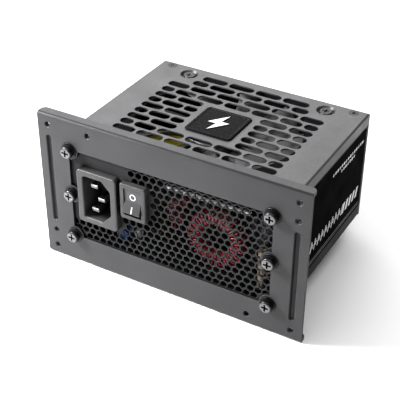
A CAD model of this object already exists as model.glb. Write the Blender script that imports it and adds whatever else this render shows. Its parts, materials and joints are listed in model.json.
import json
import math
import random

import bmesh
import bpy
from mathutils import Matrix, Vector, noise
from mathutils.bvhtree import BVHTree


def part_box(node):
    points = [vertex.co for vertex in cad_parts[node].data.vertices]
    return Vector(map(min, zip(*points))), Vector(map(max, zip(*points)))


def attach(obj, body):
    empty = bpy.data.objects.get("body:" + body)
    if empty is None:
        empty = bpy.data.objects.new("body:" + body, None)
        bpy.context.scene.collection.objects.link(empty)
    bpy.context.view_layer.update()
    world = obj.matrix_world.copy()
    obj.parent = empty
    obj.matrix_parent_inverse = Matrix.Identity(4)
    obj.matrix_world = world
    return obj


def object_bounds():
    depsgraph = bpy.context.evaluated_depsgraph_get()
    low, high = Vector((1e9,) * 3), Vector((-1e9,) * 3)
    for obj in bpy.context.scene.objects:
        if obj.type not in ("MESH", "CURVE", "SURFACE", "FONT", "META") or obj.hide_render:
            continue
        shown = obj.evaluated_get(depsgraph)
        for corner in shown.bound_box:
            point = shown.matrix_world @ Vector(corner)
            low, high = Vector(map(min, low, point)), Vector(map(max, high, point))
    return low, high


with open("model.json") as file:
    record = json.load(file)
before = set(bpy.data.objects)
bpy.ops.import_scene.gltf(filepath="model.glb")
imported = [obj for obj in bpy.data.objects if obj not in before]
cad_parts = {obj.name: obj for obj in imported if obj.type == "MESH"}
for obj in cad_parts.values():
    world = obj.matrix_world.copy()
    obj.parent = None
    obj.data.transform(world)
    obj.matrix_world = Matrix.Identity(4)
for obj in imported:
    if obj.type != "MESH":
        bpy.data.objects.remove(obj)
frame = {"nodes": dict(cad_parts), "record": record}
cad_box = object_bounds()
scene = bpy.context.scene
MM = 0.001


# ---------------------------------------------------------------- material kit

BEVEL_SAMPLES = 6
HOLLOW_SAMPLES = 8

# Sockets of the Mix node for each kind of value: first input, second input and result
MIX_SOCKETS = {"FLOAT": (2, 3, 0), "RGBA": (6, 7, 2)}


class Surface:
    """A procedural material on object coordinates, which are metres in the part's own frame."""

    def __init__(self, name, colour, metal=0.0, specular=0.5, coat=0.0, coat_rough=0.1):
        self.material = bpy.data.materials.new(name)
        self.material.use_nodes = True
        self.tree = self.material.node_tree
        self.shader = self.tree.nodes["Principled BSDF"]
        self.set("Base Color", (*colour, 1.0))
        self.set("Metallic", metal)
        self.set("Specular IOR Level", specular)
        self.set("Coat Weight", coat)
        self.set("Coat Roughness", coat_rough)
        self.place = self.add("ShaderNodeTexCoord").outputs["Object"]
        self.colour = colour
        self.rough = 0.5
        self.normal = None

    def add(self, kind, **settings):
        """A new node with these settings."""
        node = self.tree.nodes.new(kind)
        for key, value in settings.items():
            setattr(node, key, value)
        return node

    def set(self, socket, value):
        """A fixed value on one of the shader's sockets."""
        self.shader.inputs[socket].default_value = value

    def link(self, output, socket):
        self.tree.links.new(output, socket)

    def feed(self, socket, value):
        """A number, a colour or another node's output into a socket."""
        if isinstance(value, bpy.types.NodeSocket):
            self.link(value, socket)
        elif isinstance(value, tuple):
            socket.default_value = value if len(value) == len(socket.default_value) else (*value, 1.0)
        else:
            socket.default_value = value

    def mix(self, kind, factor, first, second, **settings):
        """Blend of two numbers or two colours by a factor from 0 to 1."""
        node = self.add("ShaderNodeMix", data_type=kind, **settings)
        first_socket, second_socket, result = MIX_SOCKETS[kind]
        self.feed(node.inputs[0], factor)
        self.feed(node.inputs[first_socket], first)
        self.feed(node.inputs[second_socket], second)
        return node.outputs[result]

    def noise(self, scale, detail=3.0, rough=0.5, stretch=None):
        """Noise from 0 to 1. The scale is features per metre."""
        where = self.place
        if stretch:
            mapping = self.add("ShaderNodeMapping")
            mapping.inputs["Scale"].default_value = stretch
            self.link(where, mapping.inputs["Vector"])
            where = mapping.outputs["Vector"]
        node = self.add("ShaderNodeTexNoise")
        node.inputs["Scale"].default_value = scale
        node.inputs["Detail"].default_value = detail
        node.inputs["Roughness"].default_value = rough
        self.link(where, node.inputs["Vector"])
        return node.outputs["Fac"]

    def span(self, value, low, high, to_low=0.0, to_high=1.0):
        """Value stretched from low..high to to_low..to_high and clamped there."""
        node = self.add("ShaderNodeMapRange")
        self.feed(node.inputs["Value"], value)
        node.inputs["From Min"].default_value = low
        node.inputs["From Max"].default_value = high
        node.inputs["To Min"].default_value = to_low
        node.inputs["To Max"].default_value = to_high
        return node.outputs["Result"]

    def math(self, operation, first, second=0.0):
        """One operation on numbers or other nodes' outputs."""
        node = self.add("ShaderNodeMath", operation=operation)
        self.feed(node.inputs[0], first)
        self.feed(node.inputs[1], second)
        return node.outputs[0]

    def part_of(self, vector, letter):
        """One component of a vector output."""
        node = self.add("ShaderNodeSeparateXYZ")
        self.link(vector, node.inputs[0])
        return node.outputs[letter]

    def axis(self, letter):
        """Place along an axis of the part, in metres."""
        return self.part_of(self.place, letter)

    def true_normal(self):
        """Normal of the surface before any relief or rounding."""
        return self.add("ShaderNodeNewGeometry").outputs["Normal"]

    def facing(self, letter):
        """How far the surface faces along an axis of the part, from -1 to 1."""
        return self.part_of(self.true_normal(), letter)

    def tint(self, mask, colour, amount=1.0):
        """Blends a colour over what is there, by a mask from 0 to 1."""
        self.colour = self.mix("RGBA", self.math("MULTIPLY", mask, amount), self.colour, colour)

    def vary(self, scale, darker, lighter):
        """Soft change of brightness over the surface, as a multiplier."""
        factor = self.span(self.noise(scale, 4.0), 0.3, 0.7, darker, lighter)
        grey = self.add("ShaderNodeCombineColor")
        for channel in range(3):
            self.link(factor, grey.inputs[channel])
        self.colour = self.mix("RGBA", 1.0, self.colour, grey.outputs[0], blend_type="MULTIPLY")

    def roughen(self, scale, low, high):
        """Roughness that drifts between two values over the surface."""
        self.rough = self.span(self.noise(scale), 0.3, 0.7, low, high)

    def shine(self, mask, rough):
        """Another roughness where the mask is 1."""
        self.rough = self.mix("FLOAT", mask, self.rough, rough)

    def bevel(self, radius):
        """Normal of the surface with its edges rounded to this radius, in metres."""
        node = self.add("ShaderNodeBevel", samples=BEVEL_SAMPLES)
        node.inputs["Radius"].default_value = radius
        return node.outputs["Normal"]

    def rounded(self, radius):
        """Shades edges as if they had this radius, in metres."""
        self.normal = self.bevel(radius)

    def edges(self, radius):
        """1 on edges within the radius and 0 on open faces."""
        dot = self.add("ShaderNodeVectorMath", operation="DOT_PRODUCT")
        self.link(self.bevel(radius), dot.inputs[0])
        self.link(self.true_normal(), dot.inputs[1])
        turned = self.math("SUBTRACT", 1.0, dot.outputs["Value"])
        return self.span(turned, 0.02, 0.25)

    def hollow(self, reach, low=0.35, high=0.85):
        """1 in corners and recesses within the reach and 0 on open faces."""
        node = self.add("ShaderNodeAmbientOcclusion", samples=HOLLOW_SAMPLES)
        node.inputs["Distance"].default_value = reach
        return self.span(node.outputs["AO"], low, high, 1.0, 0.0)

    def bump(self, height, depth):
        """Relief from a height of 0 to 1, with its depth in metres."""
        node = self.add("ShaderNodeBump")
        node.inputs["Strength"].default_value = 1.0
        node.inputs["Distance"].default_value = depth
        self.feed(node.inputs["Height"], height)
        if self.normal is not None:
            self.link(self.normal, node.inputs["Normal"])
        self.normal = node.outputs["Normal"]

    def done(self):
        """The finished material."""
        self.feed(self.shader.inputs["Base Color"], self.colour)
        self.feed(self.shader.inputs["Roughness"], self.rough)
        if self.normal is not None:
            self.link(self.normal, self.shader.inputs["Normal"])
        return self.material


def dust(surface, amount):
    """A little pale dust on what faces up."""
    up = surface.span(surface.facing("Z"), 0.5, 1.0)
    patches = surface.span(surface.noise(900.0, 6.0, 0.7), 0.5, 0.75)
    surface.tint(surface.math("MULTIPLY", up, patches), (0.45, 0.44, 0.42), amount)


def scaled(colour, gain, lift):
    """A colour multiplied and raised, no channel past 1."""
    return tuple(min(1.0, gain * channel + lift) for channel in colour)


def powder_coat(name, colour, wear, specular=0.4, ior=1.5, pressed=None, side=None):
    """Fine-textured baked paint over steel: orange peel, grain, rubbed edges, dark corners.

    Between the two depths of pressed, along Y, the paint is darker.
    Side is the colour of what faces sideways.
    """
    surface = Surface(name, colour, specular=specular)
    surface.set("IOR", ior)
    surface.vary(35.0, 0.9, 1.1)
    surface.vary(2600.0, 0.86, 1.14)
    surface.roughen(60.0, 0.38, 0.5)
    rubbed = surface.edges(0.35 * MM)
    scuffed = surface.math("MULTIPLY", rubbed, surface.span(surface.noise(420.0, 5.0), 0.42, 0.62))
    surface.tint(scuffed, scaled(colour, 2.6, 0.05), wear)
    dust(surface, 0.05)
    surface.tint(surface.hollow(1.6 * MM), (0.001, 0.001, 0.001), 0.85)
    if pressed:
        depth = surface.axis("Y")
        fade = 0.2 * MM
        past_front = surface.span(depth, pressed[0], pressed[0] + fade)
        before_back = surface.span(depth, pressed[1] - fade, pressed[1], 1.0, 0.0)
        surface.tint(surface.math("MULTIPLY", past_front, before_back), (0.0015, 0.0015, 0.0015), 0.9)
    if side:
        sideways = surface.span(surface.math("ABSOLUTE", surface.facing("X")), 0.9, 0.99)
        surface.tint(sideways, side, 0.95)
    surface.rounded(0.22 * MM)
    surface.bump(surface.noise(2300.0), 0.035 * MM)
    surface.bump(surface.noise(700.0, 2.0), 0.03 * MM)
    return surface.done()


def moulded(name, colour, low, high, depth=0.02 * MM, specular=0.5, shade=0.0, ior=1.5):
    """Injection-moulded plastic with a spark-eroded grain and slightly burnished edges.

    Low and high bound its roughness, depth is the grain's, and recesses darken within the reach of shade.
    """
    surface = Surface(name, colour, specular=specular)
    surface.set("IOR", ior)
    surface.vary(90.0, 0.92, 1.08)
    surface.roughen(240.0, low, high)
    worn = surface.edges(0.3 * MM)
    surface.tint(worn, scaled(colour, 1.9, 0.03), 0.35)
    surface.shine(surface.math("MULTIPLY", worn, 0.5), low * 0.8)
    if shade:
        surface.tint(surface.hollow(shade), (0.0008, 0.0008, 0.0008), 0.97)
    surface.rounded(0.25 * MM)
    surface.bump(surface.noise(1800.0), depth)
    return surface.done()


def plated(name, colour, rough, tarnish=(0.25, 0.2, 0.14)):
    """Plated or bare metal with fine scratches and some tarnish."""
    surface = Surface(name, colour, metal=1.0)
    surface.vary(150.0, 0.85, 1.1)
    surface.tint(surface.span(surface.noise(600.0, 5.0), 0.55, 0.75), tarnish, 0.35)
    lines = surface.noise(900.0, 4.0, 0.6, stretch=(1.0, 0.12, 1.0))
    surface.rough = surface.span(lines, 0.3, 0.7, 0.75 * rough, 1.5 * rough)
    surface.rounded(0.15 * MM)
    surface.bump(lines, 0.008 * MM)
    return surface.done()


def black_zinc_screw(name):
    """Black-plated screw whose head is rubbed to bright steel round a black recess."""
    surface = Surface(name, (0.012, 0.012, 0.013), metal=0.8)
    surface.vary(500.0, 0.75, 1.25)
    surface.roughen(700.0, 0.22, 0.4)
    open_face = surface.math("SUBTRACT", 1.0, surface.hollow(1.2 * MM, 0.45, 0.8))
    patch = surface.span(surface.noise(900.0, 4.0), 0.38, 0.56)
    worn = surface.math("MULTIPLY", surface.edges(0.5 * MM), surface.math("MULTIPLY", open_face, patch))
    forward = surface.math("MULTIPLY", surface.facing("Y"), -1.0)
    surface.tint(surface.math("MULTIPLY", worn, surface.span(forward, 0.1, 0.5)), (0.6, 0.6, 0.61), 0.9)
    front = surface.span(forward, 0.7, 0.95)
    surface.tint(surface.math("MULTIPLY", front, open_face), (0.26, 0.26, 0.265), 0.6)
    surface.tint(surface.hollow(1.0 * MM, 0.3, 0.62), (0.001, 0.001, 0.001), 0.95)
    surface.rounded(0.25 * MM)
    surface.bump(surface.noise(1500.0, 4.0), 0.03 * MM)
    return surface.done()


def enamelled_wire(name, colour):
    """Varnished winding wire: glossy, slightly uneven."""
    surface = Surface(name, colour, coat=0.4, coat_rough=0.12)
    surface.vary(220.0, 0.72, 1.15)
    surface.roughen(400.0, 0.154, 0.352)
    surface.bump(surface.noise(700.0), 0.03 * MM)
    return surface.done()


def printed_film(name, colour, rough, specular=0.4, ior=1.5):
    """Matt printed foil with a faint ripple."""
    surface = Surface(name, colour, specular=specular)
    surface.set("IOR", ior)
    surface.vary(60.0, 0.85, 1.15)
    surface.vary(3000.0, 0.9, 1.1)
    surface.roughen(80.0, rough * 0.85, rough * 1.2)
    surface.bump(surface.noise(55.0, 2.0), 0.12 * MM)
    surface.bump(surface.noise(2500.0, 2.0), 0.006 * MM)
    return surface.done()


def ink(name, colour):
    """Screen-printed ink: slightly patchy, matt."""
    surface = Surface(name, colour, specular=0.35)
    surface.vary(900.0, 0.88, 1.04)
    surface.roughen(500.0, 0.48, 0.65)
    surface.bump(surface.noise(2600.0), 0.01 * MM)
    return surface.done()


def circuit_board(name, colour):
    """Solder mask over copper tracks, slightly rough."""
    surface = Surface(name, colour, coat=0.3, coat_rough=0.2)
    tracks = surface.add("ShaderNodeTexBrick", offset=0.37, squash=1.7, squash_frequency=3)
    tracks.inputs["Scale"].default_value = 120.0
    tracks.inputs["Mortar Size"].default_value = 0.035
    surface.link(surface.place, tracks.inputs["Vector"])
    line = tracks.outputs["Fac"]
    surface.tint(line, scaled(colour, 0.45, 0.0), 0.8)
    surface.vary(140.0, 0.8, 1.2)
    surface.roughen(200.0, 0.22, 0.4)
    surface.bump(line, 0.03 * MM)
    surface.bump(surface.noise(1700.0, 2.0), 0.01 * MM)
    return surface.done()


def extruded_aluminium(name, colour):
    """Sawn and extruded aluminium with die lines along Z."""
    surface = Surface(name, colour, metal=1.0)
    lines = surface.noise(900.0, 3.0, 0.6, stretch=(1.0, 1.0, 0.03))
    surface.rough = surface.span(lines, 0.3, 0.7, 0.28, 0.48)
    surface.vary(120.0, 0.82, 1.06)
    surface.rounded(0.15 * MM)
    surface.bump(lines, 0.02 * MM)
    return surface.done()


def dipped(name, colour, rough=0.3):
    """Dipped epoxy body of a capacitor: glossy, lumpy."""
    surface = Surface(name, colour, coat=0.25, coat_rough=0.15)
    surface.vary(260.0, 0.82, 1.12)
    surface.roughen(300.0, rough * 0.7, rough * 1.4)
    surface.rounded(0.4 * MM)
    surface.bump(surface.noise(420.0), 0.12 * MM)
    return surface.done()


def wound_tape(name, colour):
    """Polyester tape wound in layers, with its edges showing as fine lines."""
    surface = Surface(name, colour)
    wave = surface.add("ShaderNodeTexWave", wave_type="BANDS", bands_direction="Y")
    wave.inputs["Scale"].default_value = 60.0
    wave.inputs["Distortion"].default_value = 1.2
    surface.link(surface.place, wave.inputs["Vector"])
    edge = surface.span(wave.outputs["Fac"], 0.88, 1.0)
    surface.tint(edge, scaled(colour, 0.5, 0.0), 0.7)
    surface.vary(180.0, 0.8, 1.1)
    surface.roughen(250.0, 0.22, 0.42)
    surface.rounded(0.3 * MM)
    surface.bump(edge, 0.05 * MM)
    return surface.done()


def shrink_sleeve(name, colour, band):
    """Capacitor sleeve: glossy film with a pale stripe down one side and a metal top."""
    surface = Surface(name, colour)
    top = surface.span(surface.facing("Z"), 0.9, 0.97)
    side = surface.span(surface.facing("X"), 0.86, 0.9)
    surface.tint(side, band, 0.85)
    surface.tint(top, (0.5, 0.5, 0.52), 0.9)
    surface.vary(200.0, 0.85, 1.1)
    surface.roughen(220.0, 0.2, 0.38)
    surface.rounded(0.3 * MM)
    surface.bump(surface.noise(160.0, 2.0), 0.08 * MM)
    return surface.done()


def cast_ceramic(name, colour, rough=0.62):
    """Sintered ferrite or ceramic: dull, pitted, chipped at the edges."""
    surface = Surface(name, colour, specular=0.4)
    surface.vary(300.0, 0.75, 1.25)
    surface.roughen(500.0, rough * 0.85, rough * 1.15)
    patches = surface.span(surface.noise(900.0, 4.0), 0.5, 0.65)
    chips = surface.math("MULTIPLY", surface.edges(0.5 * MM), patches)
    surface.tint(chips, (0.22, 0.22, 0.23), 0.7)
    surface.rounded(0.3 * MM)
    surface.bump(surface.noise(1500.0, 5.0, 0.7), 0.06 * MM)
    return surface.done()


def insulation(name, colour, stripe=None):
    """Soft PVC wire insulation, with a second colour along it where it has one."""
    surface = Surface(name, colour, specular=0.45)
    if stripe:
        turning = surface.add("ShaderNodeTexWave", wave_type="BANDS", bands_direction="DIAGONAL")
        turning.inputs["Scale"].default_value = 55.0
        surface.link(surface.place, turning.inputs["Vector"])
        surface.tint(surface.span(turning.outputs["Fac"], 0.48, 0.52), stripe)
    surface.vary(160.0, 0.85, 1.12)
    surface.roughen(300.0, 0.32, 0.5)
    surface.bump(surface.noise(900.0), 0.02 * MM)
    return surface.done()


def clear_film(name, colour, clear=0.25):
    """Milky polyester film. Clear is the share of light that it lets through."""
    surface = Surface(name, colour)
    surface.set("Transmission Weight", clear)
    surface.vary(50.0, 0.92, 1.04)
    surface.roughen(90.0, 0.24, 0.4)
    surface.bump(surface.noise(45.0, 2.0), 0.1 * MM)
    return surface.done()


def glossy_black(name):
    """Smooth badge plastic: dust, fine hairlines, a lighter bevelled rim."""
    surface = Surface(name, (0.002, 0.002, 0.0022), specular=0.3)
    surface.set("IOR", 1.08)
    hair = surface.noise(420.0, 5.0, 0.7, stretch=(1.0, 0.05, 1.0))
    surface.rough = surface.span(hair, 0.35, 0.7, 0.1, 0.26)
    rim = surface.edges(0.3 * MM)
    surface.tint(rim, (0.12, 0.12, 0.125), 0.6)
    dust(surface, 0.03)
    surface.rounded(0.2 * MM)
    surface.bump(hair, 0.004 * MM)
    return surface.done()


MATERIALS = {
    "bracket_paint": powder_coat(
        "Bracket_powder_coat", (0.040, 0.040, 0.042), 0.45, specular=0.2, pressed=(0.25 * MM, 1.45 * MM),
    ),
    "case_paint": powder_coat(
        "Case_powder_coat", (0.026, 0.026, 0.027), 0.5, specular=0.2, ior=1.2, side=(0.003, 0.003, 0.003),
    ),
    "cover_paint": powder_coat("Cover_powder_coat", (0.036, 0.036, 0.038), 0.5),
    "black_screw": black_zinc_screw("Black_zinc_screw"),
    "black_washer": plated("Black_zinc_washer", (0.022, 0.022, 0.023), 0.34, tarnish=(0.06, 0.06, 0.06)),
    "spring_steel": plated("Spring_steel", (0.07, 0.07, 0.072), 0.32, tarnish=(0.03, 0.03, 0.03)),
    "label_black": printed_film("Label_black_foil", (0.0012, 0.0012, 0.0014), 0.5, 0.3, 1.03),
    "label_rating": printed_film("Rating_label_foil", (0.012, 0.012, 0.0125), 0.45),
    "fan_plastic": moulded("Fan_frame_plastic", (0.004, 0.004, 0.0045), 0.5, 0.65, specular=0.1, ior=1.06),
    "rotor_plastic": moulded("Fan_rotor_plastic", (0.016, 0.016, 0.017), 0.32, 0.44, depth=0.008 * MM),
    "bearing_bronze": plated("Sintered_bronze", (0.55, 0.36, 0.18), 0.4),
    "lamination": plated("Lamination_steel", (0.42, 0.42, 0.44), 0.4),
    "copper_wire": enamelled_wire("Copper_enamel", (0.45, 0.14, 0.04)),
    "magnet": cast_ceramic("Ferrite_magnet", (0.05, 0.05, 0.055)),
    "shaft_steel": plated("Ground_steel", (0.68, 0.68, 0.7), 0.15),
    "badge_black": glossy_black("Badge_gloss_black"),
    "emblem_metal": plated("Emblem_aluminium", (0.5, 0.51, 0.52), 0.2, tarnish=(0.4, 0.4, 0.42)),
    "polyester": clear_film("Deflector_film", (0.95, 0.95, 0.95), 0.0),
    "inlet_plastic": moulded(
        "Inlet_thermoplastic", (0.036, 0.036, 0.037), 0.36, 0.5, specular=0.4, shade=7.0 * MM,
    ),
    "blade_nickel": plated("Nickel_blade", (0.13, 0.13, 0.135), 0.28),
    "lead_black": insulation("Lead_black", (0.02, 0.02, 0.02)),
    "earth_sleeve": insulation("Lead_earth", (0.62, 0.55, 0.04), (0.05, 0.28, 0.06)),
    "switch_plastic": moulded(
        "Switch_housing_plastic", (0.030, 0.030, 0.031), 0.34, 0.46, specular=0.4, shade=2.5 * MM,
    ),
    "rocker_plastic": moulded(
        "Rocker_plastic", (0.045, 0.045, 0.047), 0.3, 0.42, 0.008 * MM, specular=0.3, shade=1.5 * MM,
    ),
    "contact_brass": plated("Contact_brass", (0.62, 0.46, 0.2), 0.28),
    "board_green": circuit_board("Board_solder_mask", (0.001, 0.006, 0.0035)),
    "board_blue": circuit_board("Socket_board_mask", (0.012, 0.03, 0.07)),
    "standoff_brass": plated("Standoff_brass", (0.62, 0.46, 0.2), 0.3),
    "board_screw_zinc": plated("Zinc_screw", (0.6, 0.6, 0.62), 0.3),
    "insulation_film": clear_film("Insulation_film", (0.012, 0.012, 0.012)),
    "x_cap_case": moulded("X_capacitor_case", (0.012, 0.012, 0.014), 0.35, 0.5),
    "y_cap_blue": dipped("Y_capacitor_epoxy", (0.012, 0.06, 0.24)),
    "film_cap_beige": dipped("Film_capacitor_epoxy", (0.36, 0.25, 0.17), 0.36),
    "ferrite_black": cast_ceramic("Ferrite_core", (0.045, 0.045, 0.05)),
    "core_blue": dipped("Ring_core_epoxy", (0.02, 0.05, 0.035), 0.35),
    "red_wire": enamelled_wire("Red_enamel", (0.38, 0.035, 0.055)),
    "rectifier_black": moulded("Rectifier_epoxy", (0.02, 0.02, 0.02), 0.4, 0.55),
    "can_sleeve": shrink_sleeve("Bulk_capacitor_sleeve", (0.02, 0.02, 0.03), (0.5, 0.5, 0.52)),
    "heatsink_black": extruded_aluminium("Heatsink_black_anodised", (0.03, 0.03, 0.032)),
    "transistor_black": moulded("Transistor_epoxy", (0.02, 0.02, 0.02), 0.4, 0.55),
    "tape_yellow": wound_tape("Winding_tape", (0.85, 0.75, 0.08)),
    "tape_black": wound_tape("Winding_tape_black", (0.012, 0.012, 0.013)),
    "output_can": shrink_sleeve("Output_capacitor_sleeve", (0.03, 0.03, 0.05), (0.45, 0.45, 0.5)),
    "socket_plastic": moulded("Socket_nylon", (0.018, 0.018, 0.018), 0.4, 0.52),
    "pin_tin": plated("Tinned_pin", (0.7, 0.66, 0.52), 0.24),
}

for entry in frame["record"]["subparts"]:
    node = frame["nodes"][entry["node"]]
    node.data.materials.clear()
    node.data.materials.append(MATERIALS[entry["material_slot"]])

PRINT_WHITE = ink("Print_white", (0.82, 0.82, 0.82))
PRINT_GREY = ink("Print_grey", (0.2, 0.2, 0.205))
SOLDER = plated("Solder", (0.62, 0.62, 0.64), 0.3)
CHIP = moulded("Chip_epoxy", (0.016, 0.016, 0.017), 0.4, 0.55)
SILICONE = moulded("White_silicone", (0.62, 0.62, 0.6), 0.35, 0.5, 0.03 * MM)
CERAMIC = cast_ceramic("Chip_capacitor_ceramic", (0.36, 0.24, 0.14), 0.45)


# ---------------------------------------------------------------- mesh kit

OWN_FRAME = Matrix.Identity(4)


def make_piece(name, mesh, material, body):
    """A finished mesh as a piece that rides on a body."""
    data = bpy.data.meshes.new(name)
    mesh.normal_update()
    mesh.to_mesh(data)
    mesh.free()
    piece = bpy.data.objects.new(name, data)
    scene.collection.objects.link(piece)
    data.materials.append(material)
    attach(piece, body)
    return piece


def rectangle(width, height, x=0.0, y=0.0, slant=0.0):
    """Corners of a rectangle, its top edge pushed sideways by the slant."""
    w, h = width / 2, height / 2
    return [(x - w, y - h), (x + w, y - h), (x + w + slant, y + h), (x - w + slant, y + h)]


def round_rectangle(width, height, radius, steps=5):
    """Outline of a rectangle with round corners, about the origin."""
    points = []
    for corner, (sx, sy) in enumerate(((1, 1), (-1, 1), (-1, -1), (1, -1))):
        cx = sx * (width / 2 - radius)
        cy = sy * (height / 2 - radius)
        for i in range(steps + 1):
            angle = math.pi / 2 * (corner + i / steps)
            points.append((cx + radius * math.cos(angle), cy + radius * math.sin(angle)))
    return points


def circle(radius, x=0.0, y=0.0, steps=40):
    """Outline of a circle."""
    turns = [2 * math.pi * i / steps for i in range(steps)]
    return [(x + radius * math.cos(turn), y + radius * math.sin(turn)) for turn in turns]


def basis(origin, x_axis, y_axis):
    """Matrix of a place from its origin and two of its axes."""
    x = Vector(x_axis).normalized()
    y = Vector(y_axis).normalized()
    z = x.cross(y)
    rows = [(x[i], y[i], z[i], origin[i]) for i in range(3)]
    return Matrix(rows + [(0.0, 0.0, 0.0, 1.0)])


def add_loop(mesh, outline, place, z):
    """Vertices of an outline in the place's own XY plane, at a height along its Z."""
    return [mesh.verts.new(place @ Vector((x, y, z))) for x, y in outline]


def add_wall(mesh, first, second, closed=True):
    """Faces between two rows of vertices."""
    count = len(first)
    for i in range(count if closed else count - 1):
        j = (i + 1) % count
        mesh.faces.new((first[i], first[j], second[j], second[i]))


def add_stack(mesh, loops):
    """Closed body through loops of vertices, from the lowest to the highest."""
    mesh.faces.new(list(reversed(loops[0])))
    mesh.faces.new(loops[-1])
    for under, over in zip(loops, loops[1:]):
        add_wall(mesh, under, over)


def add_prism(mesh, outline, place, height):
    """Closed prism: an outline in the place's own XY plane, raised along its Z."""
    add_stack(mesh, [add_loop(mesh, outline, place, z) for z in (0.0, height)])


def add_band(mesh, outer, inner, place, height):
    """Closed prism between two outlines with the same number of points."""
    corners = ((outer, 0.0), (outer, height), (inner, height), (inner, 0.0))
    rims = [add_loop(mesh, outline, place, z) for outline, z in corners]
    for k in range(4):
        add_wall(mesh, rims[k], rims[(k + 1) % 4])


def add_box(mesh, low, high):
    """Box between two corners, with its upper rim drawn in a little."""
    inset = min(0.15 * MM, (high[0] - low[0]) * 0.1, (high[1] - low[1]) * 0.1)
    width, depth = high[0] - low[0], high[1] - low[1]
    middle = ((low[0] + high[0]) / 2, (low[1] + high[1]) / 2)
    base = rectangle(width, depth, *middle)
    rim = rectangle(width - 2 * inset, depth - 2 * inset, *middle)
    levels = ((base, low[2]), (base, high[2] - inset), (rim, high[2]))
    add_stack(mesh, [add_loop(mesh, outline, OWN_FRAME, z) for outline, z in levels])


def surface_tree(name):
    """Search tree over one CAD node's faces, to lay prints on it."""
    node = frame["nodes"][name]
    points = [node.matrix_world @ vertex.co for vertex in node.data.vertices]
    return BVHTree.FromPolygons(points, [tuple(face.vertices) for face in node.data.polygons])


def lay_strip(mesh, tree, left, right, closed=False):
    """Thin strip between two rails of (x, z) points, laid on a surface from the front."""
    above, below = 0.03 * MM, -0.02 * MM

    def drop(point, lift):
        hit = tree.ray_cast(Vector((point[0], -50.0 * MM, point[1])), Vector((0, 1, 0)))[0]
        return mesh.verts.new((point[0], hit.y - lift, point[1]))

    corners = ((left, above), (right, above), (right, below), (left, below))
    rails = [[drop(point, lift) for point in rail] for rail, lift in corners]
    for k in range(4):
        add_wall(mesh, rails[(k + 1) % 4], rails[k], closed)
    if not closed:
        mesh.faces.new([rail[0] for rail in rails])
        mesh.faces.new([rail[-1] for rail in reversed(rails)])
    bmesh.ops.recalc_face_normals(mesh, faces=mesh.faces)


# ---------------------------------------------------------------- prints

INK_HEIGHT = 0.02 * MM

# Side label: a row of slanted strokes with a bold group at its end, and two lines of small dashes
STROKES = 36
FINE_STROKES = 31
FINE_WIDTH = 0.8 * MM
FINE_STEP = 2.15 * MM
BOLD_WIDTH = 2.3 * MM
BOLD_STEP = 4.4 * MM
TALL_STROKE = 6.0 * MM
SHORT_STROKE = 2.4 * MM
STROKE_SLANT = 0.3
DASH_STEP = 2.7 * MM
DASH_LINE_STEP = 3.0 * MM
DASH_HEIGHT = 1.5 * MM

# Rating table
TABLE_WIDTH = 88.0 * MM
TABLE_HEIGHT = 30.0 * MM
TABLE_Y = 12.0 * MM
TABLE_BORDER = 0.4 * MM
TABLE_RULE = 0.3 * MM
TABLE_ROWS = 5
TABLE_COLUMNS = 7
ROW_HEIGHT = TABLE_HEIGHT / TABLE_ROWS
COLUMN_STEP = 12.2 * MM
FIRST_COLUMN = -31.5 * MM
CELL_MIDDLE = 6.0 * MM

# Rules under the two rows of sockets
SOCKET_RULES_Z = (-2.6 * MM, -20.4 * MM)
SOCKET_RULE_LENGTH = 112.0 * MM
SOCKET_TICKS = 9

# Marks on the rocker
MARK_OFFSET = 3.4 * MM
RING_OUTER = 1.75 * MM
RING_INNER = 1.28 * MM
BAR_LENGTH = 3.4 * MM
BAR_WIDTH = 0.54 * MM
BAR_STEPS = 5


def add_bar(mesh, place, width, height, x=0.0, y=0.0, slant=0.0):
    """Printed bar on a place."""
    add_prism(mesh, rectangle(width, height, x, y, slant), place, INK_HEIGHT)


def label_stripes(mesh, place, length, height):
    """Generic stripe design of a side label, with small dashes and two bars above."""
    x = -0.47 * length
    for i in range(STROKES):
        bold = i >= FINE_STROKES
        tall = TALL_STROKE if bold or i % 2 == 0 else SHORT_STROKE
        width = BOLD_WIDTH if bold else FINE_WIDTH
        add_bar(mesh, place, width, tall, x, -0.25 * height, STROKE_SLANT * tall)
        x += BOLD_STEP if bold else FINE_STEP
    for line, (dashes, steps_from_end) in enumerate(((15, 14), (7, 10))):
        y = 0.37 * height - line * DASH_LINE_STEP
        for i in range(dashes):
            x = 0.45 * length - (steps_from_end - i) * DASH_STEP
            add_bar(mesh, place, (1.0 + 0.4 * (i % 3)) * MM, DASH_HEIGHT, x, y, 0.4 * MM)
    for y in (0.33 * height, 0.33 * height - 2.4 * MM):
        add_bar(mesh, place, 7.0 * MM, 1.1 * MM, -0.42 * length, y, 0.3 * MM)


def label_rules(mesh, place, length, height):
    """Faint rules along the label's lower edge."""
    for share in (-0.43, -0.46):
        add_bar(mesh, place, 0.97 * length, 0.35 * MM, 0.0, share * height)


def side_prints(side, sign):
    """Stripes and rules on one side label, whose outer face looks along sign times X."""
    low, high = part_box(f"side_label_{side}")
    face_x = high.x if sign > 0 else low.x
    centre = Vector((face_x, (low.y + high.y) / 2, (low.z + high.z) / 2))
    place = basis(centre, (0, sign, 0), (0, 0, 1))
    for name, draw, print_ink in (("print", label_stripes, PRINT_WHITE), ("rules", label_rules, PRINT_GREY)):
        mesh = bmesh.new()
        draw(mesh, place, high.y - low.y, high.z - low.z)
        make_piece(f"side_{name}_{side}", mesh, print_ink, "case")


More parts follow.
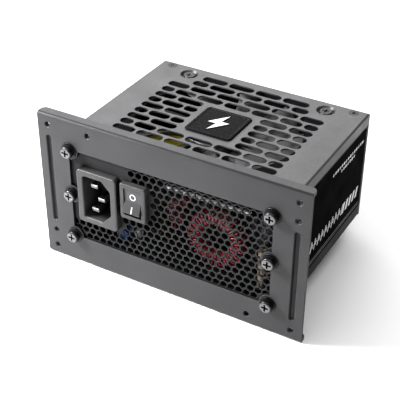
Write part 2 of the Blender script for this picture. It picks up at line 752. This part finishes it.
def rating_print():
    """Blank rating table on the bottom label: a frame, rules, bars for its lines and round marks."""
    low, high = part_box("rating_label")
    centre = Vector(((low.x + high.x) / 2, (low.y + high.y) / 2, low.z))
    place = basis(centre, (1, 0, 0), (0, -1, 0))
    mesh = bmesh.new()
    outer = rectangle(TABLE_WIDTH, TABLE_HEIGHT, 0.0, TABLE_Y)
    inner = rectangle(TABLE_WIDTH - 2 * TABLE_BORDER, TABLE_HEIGHT - 2 * TABLE_BORDER, 0.0, TABLE_Y)
    add_band(mesh, outer, inner, place, INK_HEIGHT)
    table_low = TABLE_Y - TABLE_HEIGHT / 2
    for row in range(1, TABLE_ROWS):
        add_bar(mesh, place, TABLE_WIDTH - 1.0 * MM, TABLE_RULE, 0.0, table_low + row * ROW_HEIGHT)
    for column in range(TABLE_COLUMNS):
        x = FIRST_COLUMN + column * COLUMN_STEP
        add_bar(mesh, place, TABLE_RULE, TABLE_HEIGHT - 1.0 * MM, x, TABLE_Y)
        for row in range(TABLE_ROWS):
            width = (5 + (column * 3 + row * 5) % 4) * MM
            y = table_low + (row + 0.5) * ROW_HEIGHT
            add_bar(mesh, place, width, 1.5 * MM, x + CELL_MIDDLE, y)
    for line in range(4):
        add_bar(mesh, place, (50 - 7 * line) * MM, 1.2 * MM, -15.0 * MM, (-9.0 - 3.4 * line) * MM)
    for i in range(4):
        spot = place @ Matrix.Translation(((18.0 + 7.5 * i) * MM, -14.0 * MM, 0.0))
        add_band(mesh, circle(2.9 * MM), circle(2.4 * MM), spot, INK_HEIGHT)
        add_bar(mesh, spot, 2.4 * MM, 0.5 * MM)
    make_piece("rating_print", mesh, PRINT_WHITE, "case")


def socket_print():
    """Rules and ticks on the rear sheet under each row of sockets."""
    rear_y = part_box("rear_panel")[1].y
    tick_step = SOCKET_RULE_LENGTH / (SOCKET_TICKS - 1)
    mesh = bmesh.new()
    for z in SOCKET_RULES_Z:
        place = basis(Vector((0, rear_y, z)), (-1, 0, 0), (0, 0, 1))
        add_bar(mesh, place, SOCKET_RULE_LENGTH, 0.4 * MM)
        for i in range(SOCKET_TICKS):
            x = i * tick_step - SOCKET_RULE_LENGTH / 2
            add_bar(mesh, place, 0.4 * MM, 1.2 * MM, x, 0.8 * MM)
    make_piece("socket_print", mesh, PRINT_WHITE, "case")


def rocker_marks():
    """Ring on the pressed half and bar on the raised half of the rocker."""
    tree = surface_tree("switch_rocker")
    low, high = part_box("switch_rocker")
    x = (low.x + high.x) / 2
    low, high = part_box("switch_housing")
    middle = (low.z + high.z) / 2
    mesh = bmesh.new()
    outer, inner = (circle(radius, x, middle + MARK_OFFSET) for radius in (RING_OUTER, RING_INNER))
    lay_strip(mesh, tree, outer, inner, closed=True)
    heights = [middle - MARK_OFFSET + (i / BAR_STEPS - 0.5) * BAR_LENGTH for i in range(BAR_STEPS + 1)]
    left, right = ([(x + sign * BAR_WIDTH / 2, z) for z in heights] for sign in (-1, 1))
    lay_strip(mesh, tree, left, right)
    make_piece("rocker_marks", mesh, PRINT_WHITE, "rocker")


side_prints("right", 1)
side_prints("left", -1)
rating_print()
socket_print()
rocker_marks()


# ---------------------------------------------------------------- small parts on the boards

# Silicone dabs on the main board, in millimetres: place, half width, half depth and height
DABS = (
    (-25.6, 14.2, 2.3, 2.8, 6.4),
    (26.0, 31.5, 2.6, 2.2, 2.0),
    (-34.5, 44.0, 4.2, 2.6, 3.6),
    (50.0, 55.0, 3.0, 4.0, 3.4),
)

CHIPS = 70
CHIP_SIZES = ((2.0, 1.25), (1.25, 2.0), (1.6, 0.8), (3.2, 1.6))
CHIP_HEIGHT = 0.55 * MM
CHIP_MARGIN = 6.0 * MM
END_REACH = 0.32 * MM
END_OVERHANG = 0.05 * MM
END_HEIGHT = 0.6 * MM

# Packages on each face of the control board: place as shares of the board, width and height in millimetres
PACKAGES = ((0.35, 0.7, 6.0, 5.0), (0.6, 0.35, 4.0, 4.0))
PACKAGE_HEIGHT = 1.2 * MM
PACKAGE_LEGS = 5

# Solder joints: radius and height of each rim as shares of the joint's size
JOINTS = 150
JOINT_PROFILE = ((1.0, 0.0), (0.62, 0.45), (0.28, 0.85))
JOINT_STEPS = 10

WRAP_WIDTH = 12.0 * MM
WRAP_FROM_FRONT = 2.0 * MM

pick = random.Random(7)


def lump(mesh, centre, radii, seed):
    """Dab of silicone: a rounded body with an uneven skin, its foot cut flat."""
    made = bmesh.ops.create_icosphere(mesh, subdivisions=4, radius=1.0)
    for vertex in made["verts"]:
        way = vertex.co.normalized()
        swell = 1.0 + 0.16 * noise.noise(way * 1.7 + Vector((seed, 0, 0)))
        spot = Vector((way.x * radii[0], way.y * radii[1], max(way.z, -0.8) * radii[2])) * swell
        vertex.co = centre + spot


def silicone_dabs():
    """Dabs of silicone that hold the tall parts of the main board."""
    board_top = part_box("main_board")[1].z
    mesh = bmesh.new()
    for i, (x, y, width, depth, height) in enumerate(DABS):
        centre = Vector((x * MM, y * MM, board_top + 0.42 * height * MM))
        lump(mesh, centre, (width * MM, depth * MM, 0.52 * height * MM), 3.1 * i)
    piece = make_piece("silicone_dabs", mesh, SILICONE, "case")
    for face in piece.data.polygons:
        face.use_smooth = True


def add_slab(mesh, x, y, half_width, half_depth, low, height):
    """Box about a point of a board's face."""
    add_box(mesh, (x - half_width, y - half_depth, low), (x + half_width, y + half_depth, low + height))


def add_chip(bodies, ends, x, y, top, width, depth):
    """Two-ended chip with solder over each of its short sides."""
    add_slab(bodies, x, y, width / 2, depth / 2, top, CHIP_HEIGHT)
    for sign in (-1, 1):
        if width > depth:
            end_x, end_y = x + sign * width / 2, y
            reach, across = END_REACH, depth / 2 + END_OVERHANG
        else:
            end_x, end_y = x, y + sign * depth / 2
            reach, across = width / 2 + END_OVERHANG, END_REACH
        add_slab(ends, end_x, end_y, reach, across, top, END_HEIGHT)


def board_chips():
    """Small chips scattered over the main board's upper face."""
    low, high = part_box("main_board")
    bodies, ends = bmesh.new(), bmesh.new()
    for _ in range(CHIPS):
        x = pick.uniform(low.x + CHIP_MARGIN, high.x - CHIP_MARGIN)
        y = pick.uniform(low.y + CHIP_MARGIN, high.y - CHIP_MARGIN)
        width, depth = pick.choice(CHIP_SIZES)
        add_chip(bodies, ends, x, y, high.z, width * MM, depth * MM)
    make_piece("board_chip_bodies", bodies, CERAMIC, "case")
    make_piece("board_chip_ends", ends, SOLDER, "case")


def control_chips():
    """Two packages with legs on each face of the control board."""
    low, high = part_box("control_board")
    packages, legs = bmesh.new(), bmesh.new()
    for side, face_x in ((-1, low.x), (1, high.x)):
        for share_y, share_z, width, tall in PACKAGES:
            y = low.y + share_y * (high.y - low.y)
            z = low.z + share_z * (high.z - low.z)
            place = basis(Vector((face_x, y, z)), (0, side, 0), (0, 0, 1))
            add_prism(packages, round_rectangle(width * MM, tall * MM, 0.3 * MM), place, PACKAGE_HEIGHT)
            for i in range(PACKAGE_LEGS):
                leg_x = (i - 2) * width / 6 * MM
                for end in (-1, 1):
                    leg = rectangle(0.4 * MM, 1.0 * MM, leg_x, end * (tall / 2 + 0.4) * MM)
                    add_prism(legs, leg, place, 0.25 * MM)
    make_piece("control_chips", packages, CHIP, "case")
    make_piece("control_chip_legs", legs, SOLDER, "case")


def solder_joints():
    """Domed joints scattered under the main board."""
    low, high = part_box("main_board")
    mesh = bmesh.new()
    for _ in range(JOINTS):
        x = pick.uniform(low.x + 5.0 * MM, high.x - 5.0 * MM)
        y = pick.uniform(low.y + 4.0 * MM, high.y - 4.0 * MM)
        size = pick.uniform(0.7, 1.2) * MM
        rims = [
            add_loop(mesh, circle(size * radius, x, y, JOINT_STEPS), OWN_FRAME, low.z - size * drop)
            for radius, drop in JOINT_PROFILE
        ]
        add_stack(mesh, rims[::-1])
    make_piece("solder_joints", mesh, SOLDER, "case")


def transformer_wrap():
    """Yellow tape round the main transformer's core."""
    low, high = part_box("main_transformer_core")
    width, height = high.x - low.x, high.z - low.z
    back_y = low.y + WRAP_FROM_FRONT + WRAP_WIDTH
    centre = Vector(((low.x + high.x) / 2, back_y, (low.z + high.z) / 2))
    place = basis(centre, (1, 0, 0), (0, 0, 1))
    mesh = bmesh.new()
    outer = round_rectangle(width + 0.3 * MM, height + 0.3 * MM, 0.9 * MM)
    inner = round_rectangle(width + 0.02 * MM, height + 0.02 * MM, 0.6 * MM)
    add_band(mesh, outer, inner, place, WRAP_WIDTH)
    make_piece("transformer_wrap", mesh, MATERIALS["tape_yellow"], "case")


silicone_dabs()
board_chips()
control_chips()
solder_joints()
transformer_wrap()


# ---------------------------------------------------------------- floor, light and camera

FLOOR_HALF = 6.0
AMBIENT = 0.2
FOCAL_LENGTH = 88.2
SENSOR_WIDTH = 36.0
CAMERA_PLACE = Vector((206.4, -331.8, 278.4)) * MM
CAMERA_TARGET = Vector((1.6, 30.0, -1.7)) * MM
CAMERA_ROLL = math.radians(0.45)


def paper_floor():
    """Pale floor under the part."""
    surface = Surface("Studio_floor", (0.93, 0.93, 0.93), specular=0.2)
    surface.vary(3.0, 0.99, 1.01)
    surface.roughen(4.0, 0.65, 0.8)
    surface.bump(surface.noise(900.0, 2.0), 0.01 * MM)
    mesh = bmesh.new()
    outline = rectangle(2 * FLOOR_HALF, 2 * FLOOR_HALF)
    mesh.faces.new(add_loop(mesh, outline, OWN_FRAME, cad_box[0][2]))
    data = bpy.data.meshes.new("floor")
    mesh.to_mesh(data)
    mesh.free()
    floor = bpy.data.objects.new("floor", data)
    data.materials.append(surface.done())
    scene.collection.objects.link(floor)


def aim(origin, target):
    """Rotation that points an object's own -Z from the origin to the target."""
    return (Vector(target) - Vector(origin)).to_track_quat("-Z", "Y")


def softbox(name, place, target, size, power, spread=180.0):
    """Rectangular area light aimed at a point, its beam held in by a grid where the spread is small."""
    light = bpy.data.lights.new(name, "AREA")
    light.shape = "RECTANGLE"
    light.size, light.size_y = size
    light.energy = power
    light.spread = math.radians(spread)
    lamp = bpy.data.objects.new(name, light)
    lamp.location = place
    lamp.rotation_euler = aim(place, target).to_euler()
    lamp.visible_camera = False
    scene.collection.objects.link(lamp)


def white_surroundings():
    """Even white light from all round."""
    world = bpy.data.worlds.new("studio")
    world.use_nodes = True
    background = world.node_tree.nodes["Background"]
    background.inputs["Color"].default_value = (1.0, 1.0, 1.0, 1.0)
    background.inputs["Strength"].default_value = AMBIENT
    scene.world = world


def add_camera():
    """Camera at the photo's angle."""
    lens = bpy.data.cameras.new("camera")
    lens.lens = FOCAL_LENGTH
    lens.sensor_width = SENSOR_WIDTH
    lens.clip_start = 10.0 * MM
    camera = bpy.data.objects.new("camera", lens)
    camera.location = CAMERA_PLACE
    look = aim(CAMERA_PLACE, CAMERA_TARGET).to_matrix()
    camera.rotation_euler = (look @ Matrix.Rotation(CAMERA_ROLL, 3, "Z")).to_euler()
    scene.collection.objects.link(camera)
    scene.camera = camera


paper_floor()
softbox("back_left", (-0.46, 0.86, 0.66), (0.0, 0.05, 0.0), size=(1.0, 0.7), power=8.4)
softbox("front_left", (-0.29, -0.115, 0.22), (-0.04, 0.0, 0.07), size=(0.14, 0.14), power=2.3, spread=120.0)
softbox("overhead", (0.0, -0.1, 1.3), (0.0, 0.0, 0.0), size=(1.6, 1.6), power=19.0)
white_surroundings()
scene.view_settings.view_transform = "Standard"
add_camera()
